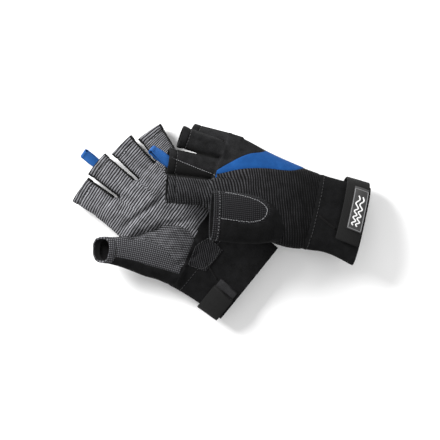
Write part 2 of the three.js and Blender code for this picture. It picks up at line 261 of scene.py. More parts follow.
def thumb_coordinates(glove, s, t, n):
    """Nearest frame of the thumb, and the point's place in it."""
    points, along, across, up, widths, depths, u = thumb_frames(glove)
    flat = np.stack([np.ravel(a) for a in (s, t, n)], axis=1)
    best = np.full(len(flat), 1e9)
    nearest = np.zeros(len(flat), int)
    for k, point in enumerate(points):
        distance = ((flat - point) ** 2).sum(1)
        closer = distance < best
        best[closer] = distance[closer]
        nearest[closer] = k
    offset = flat - points[nearest]
    parts = [(offset * basis[nearest]).sum(1) for basis in (along, across, up)]
    shaped = [np.reshape(a, np.shape(s)) for a in (*parts, widths[nearest], depths[nearest], u[nearest])]
    return shaped


def thumb_field(glove, s, t, n, step):
    """The thumb's sleeve, cut off level at both ends of its curve."""
    past, w, h, width, depth, u = thumb_coordinates(glove, s, t, n)
    section = normalised(oval(w, h, width, depth), step)
    ends = np.maximum(np.where(u >= 1.055, past - 0.5, -9), np.where(u <= 0.001, -past - 0.5, -9))
    return np.maximum(section, ends)


# ---- folds, swellings and creases of worn fabric ----
FOLD_FADE = 4.0        # creases fade over this height towards the hand's edge
# start, end, depth and width of each crease
PALM_CREASES = (
    ((128, 36), (116, -10), 3.2, 2.6),
    ((115, 38), (98, 7), 4.2, 3.2),
    ((98, 7), (80, -12), 2.6, 3.0),
    ((106, 22), (87, 1), 3.0, 2.4),
    ((87, 1), (64, -1), 2.4, 2.4),
    ((66, 31), (56, 8), 1.6, 2.6),
    ((150, 15), (134, 8), 1.6, 3.0),
)
BACK_CREASES = (
    ((146, -38), (138, -16), 2.6, 4.5),
    ((150, -20), (128, -8), 1.2, 4.0),
    ((78, 8), (60, 30), 1.3, 2.6),
    ((68, -4), (52, 16), 1.3, 2.4),
    ((60, -22), (46, -4), 1.0, 2.6),
    ((58, 22), (44, 38), 1.2, 3.0),
)


def crease(s, t, start, end, depth, width):
    """Groove along the line from start to end in the plane of the hand."""
    (s0, t0), (s1, t1) = start, end
    length = math.hypot(s1 - s0, t1 - t0)
    u = np.clip(((s - s0) * (s1 - s0) + (t - t0) * (t1 - t0)) / length ** 2, 0, 1)
    distance = np.hypot(s - s0 - u * (s1 - s0), t - t0 - u * (t1 - t0))
    fade = np.clip(4 * u * (1 - u) + 0.35, 0, 1)
    return depth * fade * np.exp(-((distance / width) ** 2))


def mound(s, t, centre, reach, height):
    """Soft swelling around a centre in the plane of the hand."""
    return -height * np.exp(-(((s - centre[0]) / reach[0]) ** 2 + ((t - centre[1]) / reach[1]) ** 2))


def ripple(s, t, n, seed):
    """Slow unevenness of soft fabric."""
    total = 0
    for k in range(6):
        a, b, c = (math.sin(seed * 7.1 + k * 2.3), math.cos(seed * 3.7 + k * 1.9), math.sin(seed + k * 4.1))
        wave = 0.055 + 0.022 * k
        total = total + np.sin(wave * (a * s + b * t + 1.4 * c * n) + seed * k) / (1.5 + k)
    return total


def palm_folds(s, t, n):
    """Creases across the palm and the swelling under the thumb, on the palm side only."""
    folds = sum(crease(s, t, *line) for line in PALM_CREASES)
    folds = folds + mound(s, t, (81, 17), (18, 15), 4.2) + mound(s, t, (122, 14), (6, 26), 1.8)
    return np.clip(-n / FOLD_FADE, 0, 1) * folds


def back_folds(s, t, n):
    """Creases at the knuckles and the wrist, on the back only."""
    folds = sum(crease(s, t, *line) for line in BACK_CREASES)
    folds = folds + mound(s, t, (112, 6), (26, 24), 1.2)
    return np.clip(n / FOLD_FADE, 0, 1) * folds


# ---- meshes ----
def surface(field, origin):
    """Vertices and triangles of the zero surface of a field on a grid."""
    grid = openvdb.FloatGrid()
    grid.background = FIELD_CELLS
    grid.copyFromArray(np.clip(field / CELL, -FIELD_CELLS, FIELD_CELLS).astype(np.float32))
    points, quads = grid.convertToQuads()
    points = points.astype(float) * CELL + np.array(origin)
    quads = quads.astype(int)
    triangles = np.concatenate((quads[:, (0, 1, 2)], quads[:, (0, 2, 3)]))
    return points, triangles


def clip(points, triangles, values):
    """The part of a triangle mesh where values are below zero, cut along the line where they are zero."""
    inside = values < 0
    count = inside[triangles].sum(1)
    kept = [triangles[count == 3]]
    edges = []
    for keep, wanted in ((1, True), (2, False)):
        rows = triangles[count == keep]
        if not len(rows):
            continue
        lone = np.argmax(inside[rows] == wanted, axis=1)
        a, b, c = (rows[np.arange(len(rows)), (lone + k) % 3] for k in range(3))
        edges.append((keep, a, b, c))
    if not edges:
        return points, kept[0]
    pairs = [np.stack(ends, 1) for _, a, b, c in edges for ends in ((a, b), (a, c))]
    pairs = np.sort(np.concatenate(pairs), axis=1)
    unique, where = np.unique(pairs, axis=0, return_inverse=True)
    where = where.reshape(-1) + len(points)
    va, vb = values[unique[:, 0]], values[unique[:, 1]]
    share = (va / (va - vb))[:, None]
    points = np.concatenate((points, points[unique[:, 0]] * (1 - share) + points[unique[:, 1]] * share))
    start = 0
    for keep, a, b, c in edges:
        ab = where[start:start + len(a)]
        ac = where[start + len(a):start + 2 * len(a)]
        start += 2 * len(a)
        if keep == 1:
            kept.append(np.stack((a, ab, ac), 1))
        else:
            kept.append(np.stack((ab, b, c), 1))
            kept.append(np.stack((ab, c, ac), 1))
    return packed(points, np.concatenate(kept))


def packed(points, triangles):
    """The same mesh without unused vertices."""
    used, where = np.unique(triangles, return_inverse=True)
    return points[used], where.reshape(triangles.shape)


def vertex_normals(points, triangles):
    """Directions out of the surface at its points."""
    corners = points[triangles]
    face = np.cross(corners[:, 1] - corners[:, 0], corners[:, 2] - corners[:, 0])
    normals = np.zeros_like(points)
    for k in range(3):
        np.add.at(normals, triangles[:, k], face)
    return normals / np.maximum(np.linalg.norm(normals, axis=1), 1e-9)[:, None]


def weld(mesh):
    """Joins points that a cut has left almost on top of each other."""
    work = bmesh.new()
    work.from_mesh(mesh)
    bmesh.ops.remove_doubles(work, verts=work.verts, dist=WELD * MM)
    bmesh.ops.dissolve_degenerate(work, edges=work.edges, dist=0.05 * MM)
    work.to_mesh(mesh)
    work.free()


def make_mesh(name, glove, points, faces, material, weave):
    """An object of one glove from hand-frame points, with the weave coordinates kept as an attribute."""
    name = f'{glove["name"]}_{name}'
    if glove["mirror"] < 0:
        faces = [tuple(face)[::-1] for face in faces]
    mesh = bpy.data.meshes.new(name)
    mesh.from_pydata(placed(glove, points).tolist(), [], [tuple(int(i) for i in face) for face in faces])
    attribute = mesh.attributes.new("weave", "FLOAT_VECTOR", "POINT")
    attribute.data.foreach_set("vector", np.asarray(weave, np.float32).ravel())
    mesh.materials.append(material)
    weld(mesh)
    mesh.polygons.foreach_set("use_smooth", [True] * len(mesh.polygons))
    mesh.update()
    thing = bpy.data.objects.new(name, mesh)
    bpy.context.scene.collection.objects.link(thing)
    return thing


def thicken(thing, thickness, offset=-1.0, lining=None):
    """Gives a fabric surface its thickness, inwards from the surface, with a lining inside."""
    modifier = thing.modifiers.new("thickness", "SOLIDIFY")
    modifier.thickness = thickness * MM
    modifier.offset = offset
    modifier.use_even_offset = False
    if lining:
        modifier.material_offset = len(thing.data.materials)
        thing.data.materials.append(lining)
    return thing


# ---- materials ----
class Nodes:
    """Short calls for building one node tree."""

    def __init__(self, name, roughness=0.9, specular=0.25, sheen=0.0):
        self.material = bpy.data.materials.new(name)
        self.material.use_nodes = True
        self.tree = self.material.node_tree
        self.shader = self.tree.nodes["Principled BSDF"]
        self.shader.inputs["Roughness"].default_value = roughness
        self.shader.inputs["Specular IOR Level"].default_value = specular
        self.shader.inputs["Sheen Weight"].default_value = sheen
        self.shader.inputs["Sheen Roughness"].default_value = 0.5

    def node(self, kind, **settings):
        made = self.tree.nodes.new(kind)
        for key, value in settings.items():
            setattr(made, key, value)
        return made

    def link(self, source, target):
        self.tree.links.new(source, target)

    def math(self, operation, a, b=0.0):
        made = self.node("ShaderNodeMath", operation=operation)
        for slot, value in zip(made.inputs, (a, b)):
            if isinstance(value, (int, float)):
                slot.default_value = value
            else:
                self.link(value, slot)
        return made.outputs[0]

    def weighted(self, first, first_weight, second, second_weight):
        """Two values added, each times its weight."""
        parts = (self.math("MULTIPLY", first, first_weight), self.math("MULTIPLY", second, second_weight))
        return self.math("ADD", *parts)

    def weave(self):
        """The three weave coordinates, in millimetres."""
        attribute = self.node("ShaderNodeAttribute", attribute_name="weave")
        split = self.node("ShaderNodeSeparateXYZ")
        self.link(attribute.outputs["Vector"], split.inputs[0])
        return attribute.outputs["Vector"], split.outputs

    def noise(self, vector, scale, detail=2.0):
        made = self.node("ShaderNodeTexNoise")
        made.inputs["Scale"].default_value = scale
        made.inputs["Detail"].default_value = detail
        self.link(vector, made.inputs["Vector"])
        return made.outputs["Fac"]

    def wave(self, coordinate, pitch, shift=0.0):
        """0 to 1, once in every pitch."""
        turns = self.math("MULTIPLY", coordinate, 2 * math.pi / pitch)
        turns = self.math("ADD", turns, shift)
        half = self.math("MULTIPLY", self.math("SINE", turns), 0.5)
        return self.math("ADD", half, 0.5)

    def ramp(self, value, stops):
        made = self.node("ShaderNodeValToRGB")
        elements = made.color_ramp.elements
        while len(elements) < len(stops):
            elements.new(0.5)
        for element, (place, colour) in zip(elements, stops):
            element.position = place
            element.color = (*colour, 1)
        self.link(value, made.inputs["Fac"])
        return made.outputs["Color"]

    def bump(self, height, distance):
        made = self.node("ShaderNodeBump")
        made.inputs["Strength"].default_value = 1.0
        made.inputs["Distance"].default_value = distance * MM
        self.link(height, made.inputs["Height"])
        self.link(made.outputs[0], self.shader.inputs["Normal"])

    def colour(self, source):
        self.link(source, self.shader.inputs["Base Color"])
        return self.material


def grey(value, blue=1.0):
    return (value, value, value * blue)


def ribbed_grip(name, dark, light, turn=0.0, fade=None):
    """Corduroy-like grip fabric: raised ribs with fine threads across them, darkened towards the wrist as
    painted shade when fade is given.
    """
    nodes = Nodes(name, roughness=0.9, specular=0.06, sheen=0.02)
    vector, (along, across, _) = nodes.weave()
    skewed = nodes.math("ADD", along, nodes.math("MULTIPLY", across, turn))
    drift = nodes.math("MULTIPLY", nodes.noise(vector, 0.07), 2.2)
    rib = nodes.wave(nodes.math("ADD", skewed, drift), RIB_PITCH)
    thread = nodes.wave(nodes.math("ADD", across, nodes.math("MULTIPLY", skewed, 0.32)), 1.5)
    patches = nodes.noise(vector, 0.16, 4.0)
    grain = nodes.noise(vector, 1.9, 3.0)
    knots = nodes.math("MULTIPLY", rib, thread)
    height = nodes.weighted(rib, 0.5, knots, 0.5)
    tone = nodes.math("MULTIPLY", height, nodes.math("ADD", 0.35, nodes.math("MULTIPLY", patches, 1.3)))
    tone = nodes.math("MULTIPLY", tone, nodes.math("ADD", 0.4, nodes.math("MULTIPLY", grain, 1.2)))
    # with fade, the tone drops towards the wrist end: painted shade, not wear
    if fade:
        painted_shade = nodes.node("ShaderNodeMapRange")
        for slot, value in zip(("From Min", "From Max", "To Min", "To Max"), (*fade, 0.3, 1.0)):
            painted_shade.inputs[slot].default_value = value
        nodes.link(along, painted_shade.inputs["Value"])
        tone = nodes.math("MULTIPLY", tone, painted_shade.outputs[0])
    nodes.bump(height, 0.42)
    middle = grey((dark + light) * 0.42, 1.06)
    stops = ((0.12, grey(dark, 1.05)), (0.5, middle), (0.95, grey(light, 1.08)))
    return nodes.colour(nodes.ramp(tone, stops))


def knitted_grip(name, dark, light):
    """Square knit: two crossed waves that leave small raised knots."""
    nodes = Nodes(name, roughness=0.9, specular=0.06, sheen=0.02)
    vector, (along, across, _) = nodes.weave()
    knots = nodes.math("MULTIPLY", nodes.wave(along, 1.9), nodes.wave(across, 1.9))
    grain = nodes.noise(vector, 1.6, 3.0)
    tone = nodes.weighted(knots, 0.75, grain, 0.35)
    nodes.bump(knots, 0.35)
    return nodes.colour(nodes.ramp(tone, ((0.15, grey(dark, 1.05)), (0.85, grey(light, 1.08)))))


def napped_stretch(name, dark, light):
    """Matt black stretch fabric with a fine nap and slow mottling."""
    nodes = Nodes(name, roughness=0.95, specular=0.03, sheen=0.012)
    vector, _ = nodes.weave()
    nap = nodes.noise(vector, 1.5, 6.0)
    mottle = nodes.noise(vector, 0.12, 3.0)
    tone = nodes.weighted(nap, 0.7, mottle, 0.4)
    nodes.bump(nap, 0.22)
    return nodes.colour(nodes.ramp(tone, ((0.35, grey(dark)), (0.75, grey(light, 1.05)))))


def smooth_knit(name, dark, light):
    """Close smooth knit, such as the blue panel."""
    nodes = Nodes(name, roughness=0.75, specular=0.1, sheen=0.02)
    vector, (along, across, _) = nodes.weave()
    loops = nodes.math("MULTIPLY", nodes.wave(along, 0.8), nodes.wave(across, 0.7))
    mottle = nodes.noise(vector, 0.2, 4.0)
    tone = nodes.weighted(loops, 0.3, mottle, 0.7)
    nodes.bump(loops, 0.08)
    return nodes.colour(nodes.ramp(tone, ((0.2, dark), (0.8, light))))


def webbing(name, dark, light, pitch=1.3):
    """Plain-woven tape: ribs across the tape and threads along it."""
    nodes = Nodes(name, roughness=0.75, specular=0.1, sheen=0.02)
    vector, (along, across, _) = nodes.weave()
    slant = nodes.wave(nodes.math("ADD", along, across), pitch)
    other = nodes.wave(nodes.math("SUBTRACT", along, across), pitch)
    height = nodes.math("MAXIMUM", slant, other)
    grain = nodes.noise(vector, 1.2, 3.0)
    tone = nodes.weighted(height, 0.6, grain, 0.4)
    nodes.bump(height, 0.18)
    return nodes.colour(nodes.ramp(tone, ((0.3, dark), (0.9, light))))


def thread(name, colour):
    """Twisted sewing thread."""
    nodes = Nodes(name, roughness=0.6, specular=0.4, sheen=0.1)
    _, (along, across, height) = nodes.weave()
    twist = nodes.wave(nodes.math("ADD", along, nodes.math("ADD", across, height)), 0.5)
    nodes.bump(twist, 0.08)
    dim = tuple(0.45 * c for c in colour)
    return nodes.colour(nodes.ramp(twist, ((0.1, dim), (0.9, colour))))


def moulded_rubber(name, dark, light):
    """Soft moulded label with a fine matt grain."""
    nodes = Nodes(name, roughness=0.48, specular=0.45)
    vector, _ = nodes.weave()
    grain = nodes.noise(vector, 2.4, 3.0)
    wear = nodes.noise(vector, 0.25, 3.0)
    nodes.bump(grain, 0.05)
    tone = nodes.weighted(grain, 0.4, wear, 0.6)
    return nodes.colour(nodes.ramp(tone, ((0.3, dark), (0.75, light))))


MATERIALS = {
    "grip": ribbed_grip("grip_fabric", 0.010, 0.31, turn=0.06),
    # darker copy of the grip fabric for the right glove's palm: painted shade for a palm that lies in shade
    "shaded_grip": ribbed_grip("shaded_grip_fabric", 0.003, 0.07, turn=0.36, fade=(60, 150)),
    "thenar": ribbed_grip("thenar_fabric", 0.004, 0.17, turn=-1.1),
    "heel": ribbed_grip("heel_fabric", 0.004, 0.045, turn=0.8),
    "knit": knitted_grip("thumb_knit", 0.008, 0.14),
    # darker copy of the thumb knit for the right glove: painted shade
    "shaded_knit": knitted_grip("shaded_thumb_knit", 0.003, 0.042),
    "stretch": napped_stretch("stretch_fabric", 0.003, 0.012),
    "back": napped_stretch("back_fabric", 0.004, 0.021),
    "lining": napped_stretch("lining_fabric", 0.004, 0.015),
    "binding": webbing("binding_tape", grey(0.002), grey(0.009), 0.9),
    "blue": smooth_knit("blue_fabric", (0.004, 0.045, 0.17), (0.010, 0.075, 0.25)),
    "blue_webbing": webbing("blue_webbing", (0.008, 0.045, 0.17), (0.018, 0.10, 0.31), 1.1),
    "strap": webbing("strap_webbing", grey(0.003), grey(0.016), 1.5),
    "hook": napped_stretch("hook_tape", 0.006, 0.03),
    "loop": napped_stretch("loop_tape", 0.008, 0.035),
    "thread": thread("grey_thread", (0.42, 0.42, 0.44)),
    "dark_thread": thread("dark_thread", (0.022, 0.022, 0.024)),
    "label": moulded_rubber("label_rubber", grey(0.16, 1.03), grey(0.24, 1.03)),
    "label_frame": moulded_rubber("label_frame", grey(0.02), grey(0.035)),
    "label_mark": moulded_rubber("label_mark", grey(0.62), grey(0.75)),
}


# ---- zones of one glove's skin: each value is zero on a seam and in millimetres near it ----
SEAM_STATIONS = (60, 66, 75, 106, 131, 151, 165)
SEAM_SHARES = (0.0, 0.01, 0.09, 0.25, 0.425, 0.60, 0.64)
BLUE_STATIONS = (96, 110, 124, 137, 153)
BLUE_SHARES = (-0.15, 0.05, 0.185, 0.35, 0.60)
BLUE_ENDS = (62, 149.5)


def hand_share(glove, s, t):
    """0 at the little-finger edge and 1 at the thumb edge, with the hand's width there."""
    middle, half, _, _ = hand_section(glove, s)
    return (t - middle + half) / (2 * half), 2 * half


def nearest_finger(glove, points):
    """For each point: the nearest finger, and its place along, across and above that finger."""
    s, t, n = points.T
    best = np.full(len(points), 1e9)
    result = np.zeros((4, len(points)))
    for k, finger in enumerate(FINGERS):
        *_, half, _ = finger_axes(glove, finger)
        u, w, h = finger_coordinates(glove, finger, s, t, n)
        distance = np.hypot(w / half, h / glove["finger_depth"])
        closer = distance < best
        best[closer] = distance[closer]
        for row, value in enumerate((np.full(len(points), k), u, w, h)):
            result[row][closer] = value[closer]
    return result


def finger_lengths(glove, which):
    """Length of each point's nearest finger."""
    return np.array([finger_axes(glove, finger)[4] for finger in FINGERS])[which.astype(int)]


def back_value(glove, points):
    """Negative on the black back and the blue panel, positive on the ribbed palm fabric."""
    s, t, n = points.T
    share, width = hand_share(glove, s, t)
    which, u, _, h = nearest_finger(glove, points)
    on_finger = np.clip((u + 6) / 8, 0, 1)
    height = n * (1 - on_finger) + h * on_finger
    seam = (share - smooth_curve(SEAM_STATIONS, SEAM_SHARES, s)) * width
    radial = np.where(on_finger > 0.5, np.where(which == 0, 9.0, -9.0), seam)
    return np.maximum(-height, radial)


def blue_value(glove, points):
    """Negative on the blue panel."""
    s, t, _ = points.T
    share, width = hand_share(glove, s, t)
    upper = (smooth_curve(BLUE_STATIONS, BLUE_SHARES, s) - share) * width
    ends = np.maximum(s - BLUE_ENDS[1], BLUE_ENDS[0] - s)
    return np.maximum(upper, np.maximum(back_value(glove, points), ends))


THENAR_OUTLINE = (
    (118, 60), (116, 37), (105, 21), (98, 8), (87, 0), (76, -2),
    (66, 0), (58, 8), (56, 24), (60, 34), (66, 60),
)


def thenar_value(glove, points):
    """Negative on the swelling under the thumb, where the grip fabric is turned."""
    return np.maximum(outline_distance(points, THENAR_OUTLINE), points[:, 2] + 3)


def edge_value(glove, points):
    """Positive on the narrow sides of the fingers, where the black binding is."""
    which, u, w, h = nearest_finger(glove, points)
    widths = np.array([glove["fingers"][finger][2:] for finger in FINGERS])
    half, root = widths[which.astype(int)].T
    share = np.clip(u / finger_lengths(glove, which), 0, 1)
    inner = root + (half - root) * share - BORDER
    inner = inner - np.where((which == 1) & (w > 0) & (h > 0), glove["gusset"] * share, 0)
    outer = (which == 0) & (w > 0)
    return np.where(outer, -9, np.minimum(np.abs(w) - inner, u + 1))


def wrist_value(glove, points):
    """Negative on the plain black wrist, positive on the ribbed fabric."""
    s, t, _ = points.T
    if glove["name"] == "right":
        return s - RIGHT_WRIST
    return s - LEFT_WRIST - 12 * np.clip((26 - t) / 40, 0, 1)


def hem_value(glove, points):
    """Negative towards the hand, positive within the folded hem of the nearest finger."""
    which, u, _, _ = nearest_finger(glove, points)
    return u - finger_lengths(glove, which) + HEM


def pinched(points, normals, *values, depth=STITCHED_DEPTH, reach=1.5):
    """Draws the surface in along its seams, where the stitching pulls it."""
    for value in values:
        points = points - normals * (depth * np.exp(-((value / reach) ** 2)))[:, None]
    return points


# ---- the skin of one glove ----
def hand_grid():
    """The grid's lowest corner, and the coordinates of its points."""
    low = np.array(GRID_LOW)
    counts = ((np.array(GRID_HIGH) - low) / CELL).astype(int)
    ranges = [low[k] + CELL * np.arange(counts[k]) for k in range(3)]
    return low, np.meshgrid(*ranges, indexing="ij")


def with_thumb(glove, field, s, t, n):
    """Melts the thumb's sleeve into the hand's field."""
    points = np.array(glove["thumb"])
    lines = (s[:, 0, 0], t[0, :, 0], n[0, 0])
    limits = zip(lines, points.min(0) - ROOM, points.max(0) + ROOM)
    inside = [np.flatnonzero((line >= low) & (line <= high)) for line, low, high in limits]
    block = tuple(slice(rows[0], rows[-1] + 1) for rows in inside)
    thumb = thumb_field(glove, s[block], t[block], n[block], CELL)
    field[block] = smooth_min(field[block], thumb, glove["thumb_merge"])
    return field


def hand_and_fingers(glove):
    """Closed surface around the hand, the fingers and a thumb that melts into it, with its folds."""
    low, (s, t, n) = hand_grid()
    field = hand_field(glove, s, t, n, CELL)
    fingers = None
    for finger in FINGERS:
        one = finger_field(glove, finger, s, t, n, CELL)
        fingers = one if fingers is None else smooth_min(fingers, one, 0.8)
    field = smooth_min(field, fingers, 2.2)
    if glove["thumb_merge"]:
        field = with_thumb(glove, field, s, t, n)
    field = field + palm_folds(s, t, n) + back_folds(s, t, n)
    field = field + 0.4 * ripple(s, t, n, 1.0 if glove["name"] == "left" else 2.0)
    if glove["name"] == "left":
        field = np.maximum(field, n - SEAT + 0.3)
    return surface(field, low)


def thumb_surface(glove):
    """Closed surface around a thumb that lies over the hand."""
    points = np.array(glove["thumb"])
    low = points.min(0) - ROOM
    high = points.max(0) + ROOM
    ranges = [np.arange(low[k], high[k], CELL) for k in range(3)]
    s, t, n = np.meshgrid(*ranges, indexing="ij")
    return surface(thumb_field(glove, s, t, n, CELL) + 0.35 * ripple(s, t, n, 3.0), low)


def distance_from(field, points):
    """Distance of points from the zero surface of a field that isn't a distance itself."""
    value = field(*points.T)
    step = 0.5
    gradient = [(field(*(points + step * np.eye(3)[k]).T) - value) / step for k in range(3)]
    return value / np.maximum(np.sqrt(sum(g * g for g in gradient)), 1e-4)


def hand_distance(glove, points):
    """Distance outside the palm and the cuff."""
    def field(s, t, n):
        middle, half_width, half_depth, _ = hand_section(glove, s)
        return oval(t - middle, n, half_width, half_depth)

    return distance_from(field, points)


def thumb_distance(glove, points):
    """Distance outside the thumb's sleeve, which begins a little inside the hand."""
    def field(s, t, n):
        _, w, h, width, depth, _ = thumb_coordinates(glove, s, t, n)
        return oval(w, h, width, depth)

    return np.maximum(distance_from(field, points), 4 - thumb_place(glove, points)[0])


def hand_weave(glove, points):
    """Weave coordinates that fan out with the fingers."""
    s, t, n = points.T
    which, u, *_ = nearest_finger(glove, points)
    share = np.clip((s - 120) / 40, 0, 1)
    along = s * (1 - share) + (u - finger_lengths(glove, which) + GLOVE_LENGTH) * share
    return np.stack((along, t, n), axis=1)


class Piece:
    """A stretch of fabric in the hand frame, with the pieces cut from it."""

    def __init__(self, glove, points, triangles):
        self.glove = glove
        self.points = points
        self.triangles = triangles

    def where(self, value):
        """The part where value(glove, points) is negative."""
        return Piece(self.glove, *clip(self.points, self.triangles, value(self.glove, self.points)))

    def beyond(self, value):
        """The part where value(glove, points) is positive."""
        return self.where(lambda glove, points: -value(glove, points))

    def swelled(self, amount):
        """Moved outwards along its normals."""
        normals = vertex_normals(self.points, self.triangles)
        return Piece(self.glove, self.points + normals * amount, self.triangles)

    def object(self, name, materials, thickness=FABRIC, weave=hand_weave):
        coordinates = weave(self.glove, self.points)
        first, *others = materials.split()
        thing = make_mesh(name, self.glove, self.points, self.triangles, MATERIALS[first], coordinates)
        for other in others:
            thing.data.materials.append(MATERIALS[other])
        return thicken(thing, thickness, lining=MATERIALS["lining"])


def thumb_zone(glove, points):
    """Negative on the thumb's sleeve, positive on the hand."""
    return thumb_distance(glove, points) - np.maximum(hand_distance(glove, points), -1.0)


def thumb_hem_value(glove, points):
    """Negative towards the hand, positive within the thumb's folded hem, which may be cut at a slant."""
    along, _, h, _ = thumb_place(glove, points)
    return along - thumb_length(glove) - glove["thumb_slant"] * h + HEM


def open_skin(glove):
    """The glove's fabric, open at the cuff and at the finger ends: the hand's part and the thumb's."""
    points, triangles = hand_and_fingers(glove)
    normals = vertex_normals(points, triangles)
    merged = glove["thumb_merge"] > 0
    on_thumb = (thumb_zone(glove, points) < 0) & merged
    hand_seams = (back_value, edge_value, wrist_value, hem_value, thenar_value)
    thumb_seams = (grip_value, thumb_hem_value)
    lines = [np.where(on_thumb, FAR, seam(glove, points)) for seam in hand_seams]
    lines += [np.where(on_thumb, seam(glove, points), FAR) for seam in thumb_seams]
    skin = Piece(glove, pinched(points, normals, *lines), triangles)
    hand = skin.beyond(thumb_zone if merged else thumb_hole).where(lambda g, p: -p[:, 0])
    hand = hand.where(lambda g, p: hem_value(g, p) - HEM)
    thumb = skin.where(thumb_zone) if merged else separate_thumb(glove)
    return hand, thumb.where(lambda g, p: thumb_hem_value(g, p) - HEM)


def thumb_hole(glove, points):
    """Negative where the hand's fabric is open into the base of a thumb that lies over it."""
    along = thumb_place(glove, points)[0]
    return np.maximum(thumb_distance(glove, points) + THUMB_OVERLAP, along - THUMB_ROOT)


def separate_thumb(glove):
    """The sleeve of a thumb that lies over the hand, cut off inside the hand."""
    points, triangles = thumb_surface(glove)
    normals = vertex_normals(points, triangles)
    seams = (grip_value(glove, points), thumb_hem_value(glove, points))
    sleeve = Piece(glove, pinched(points, normals, *seams), triangles)
    return sleeve.where(lambda g, p: -THUMB_OVERLAP - hand_distance(g, p))


def knuckle_line(glove):
    """Places before and after the knuckles."""
    end = glove["stations"][-1][0]
    return placed(glove, [(end + place, 0, 0) for place in KNUCKLE_BEND])


def bend(thing, ends):
    """Bakes the piece's placement into its mesh; the ends are not used."""
    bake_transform(thing)


def bend_at_knuckles(thing, glove):
    bend(thing, knuckle_line(glove))


def attach(thing, glove, body, slot, *replaced):
    """Rides a piece on a body of its glove, if one is given, and hides the nodes it stands for."""
    if body:
        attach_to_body(thing, f'{glove["name"]}_{body}')
    if replaced:
        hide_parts(*(f'{glove["name"]}_{node}' for node in replaced))


def make_hand(glove, skin):
    """Cuff, wrist, palm, back, blue panel, finger sides and hems."""
    cuff = skin.where(lambda g, p: p[:, 0] - CUFF).object("cuff", "stretch")
    attach(cuff, glove, "glove", "stretch_fabric", "cuff_band")
    hand = skin.beyond(lambda g, p: p[:, 0] - CUFF)
    hems = hand.beyond(hem_value)
    hand = hand.where(hem_value)
    sides = hand.beyond(edge_value)
    hand = hand.where(edge_value)
    palm_side = hand.beyond(back_value)
    back_side = hand.where(back_value)
    # the right glove's palm takes the darker copy of the grip fabric: painted shade
    palm_material = "grip" if glove["name"] == "left" else "shaded_grip"
    palm = palm_side.beyond(wrist_value)
    parts = (
        ("wrist", palm_side.where(wrist_value), "stretch", (), "stretch_fabric"),
        ("palm", palm.beyond(thenar_value), palm_material, ("palm_panel", "index_sleeve"), "grip_fabric"),
        ("thenar", palm.where(thenar_value), "thenar", (), "grip_fabric"),
        ("back", back_side.beyond(blue_value), "back", ("back_panel", "ring_sleeve"), "stretch_fabric"),
        ("blue_panel", back_side.where(blue_value), "blue", ("side_panel",), "blue_fabric"),
        ("finger_sides", sides, "binding", ("middle_sleeve", "little_sleeve"), "binding_tape"),
    )
    for name, piece, material, replaced, slot in parts:
        thing = piece.object(name, material)
        bend_at_knuckles(thing, glove)
        attach(thing, glove, None, slot, *replaced)
    make_hems(glove, hems)


def face_centres(thing, glove):
    """Middles of an object's faces, in the hand frame."""
    centres = np.array([face.center[:] for face in thing.data.polygons])
    return (centres / MM - np.array(glove["origin"])) @ axes(glove).T


def make_hems(glove, hems):
    """Each finger's folded hem: grip fabric on the palm side, black on the back."""
    for k, finger in enumerate(FINGERS):
        hem = hems.where(lambda g, p: np.where(nearest_finger(g, p)[0] == k, -1.0, 1.0)).swelled(RAISED_HEM)
        # the right glove's hems take the darker copy of the grip fabric: painted shade
        grip = "grip" if glove["name"] == "left" else "shaded_grip"
        thing = hem.object(f"{finger}_hem_fold", f"{grip} back binding", HEM_THICKNESS)
        centres = face_centres(thing, glove)
        back = back_value(glove, centres) < 0
        side = edge_value(glove, centres) > 0
        thing.data.polygons.foreach_set("material_index", np.where(side, 2, np.where(back, 1, 0)).tolist())
        attach(thing, glove, "fingers", "binding_tape", f"{finger}_hem")


# ---- thumbs ----
def thumb_place(glove, points):
    """How far along the thumb, across it and above it each point is, with its half width there."""
    frames = thumb_frames(glove)
    arcs = np.concatenate(([0], np.cumsum(np.linalg.norm(np.diff(frames[0], axis=0), axis=1))))
    past, w, h, width, _, u = thumb_coordinates(glove, *points.T)
    return np.interp(u, frames[6], arcs) + past, w, h, width


def thumb_length(glove):
    points, *_, u = thumb_frames(glove)
    inside = points[u <= 1.0]
    return np.linalg.norm(np.diff(inside, axis=0), axis=1).sum()


def thumb_weave(glove, points):
    along, w, h, _ = thumb_place(glove, points)
    return np.stack((along, w, h), axis=1)


def outline_distance(points, outline):
    """Signed distance to a closed outline in the plane of s and t, negative inside."""
    a = np.asarray(outline, float)
    b = np.roll(a, -1, axis=0)
    s, t = points[:, 0], points[:, 1]
    best = np.full(len(points), 1e9)
    inside = np.zeros(len(points), bool)
    for (s0, t0), (s1, t1) in zip(a, b):
        length = (s1 - s0) ** 2 + (t1 - t0) ** 2
        u = np.clip(((s - s0) * (s1 - s0) + (t - t0) * (t1 - t0)) / length, 0, 1)
        best = np.minimum(best, np.hypot(s - s0 - u * (s1 - s0), t - t0 - u * (t1 - t0)))
        if t0 != t1:
            crossing = ((t0 > t) != (t1 > t)) & (s < (s1 - s0) * (t - t0) / (t1 - t0) + s0)
            inside ^= crossing
    return np.where(inside, -best, best)


THUMB_PATCH = (
    (160, 8), (125, 9), (108, 9), (98, 12), (92, 18),
    (92, 25), (96, 33), (106, 39), (117, 41.5), (160, 47),
)


def grip_value(glove, points):
    """Negative on the knitted grip of the thumb."""
    _, w, h, width = thumb_place(glove, points)
    if glove["name"] == "left":
        return np.maximum(w - width * 0.35, h - 4)
    return np.maximum(outline_distance(points, THUMB_PATCH), -h)


def bend_with_thumb(thing, glove):
    """Bakes the placement of a piece of the thumb into its mesh."""
    bend(thing, placed(glove, glove["thumb_bend"]))


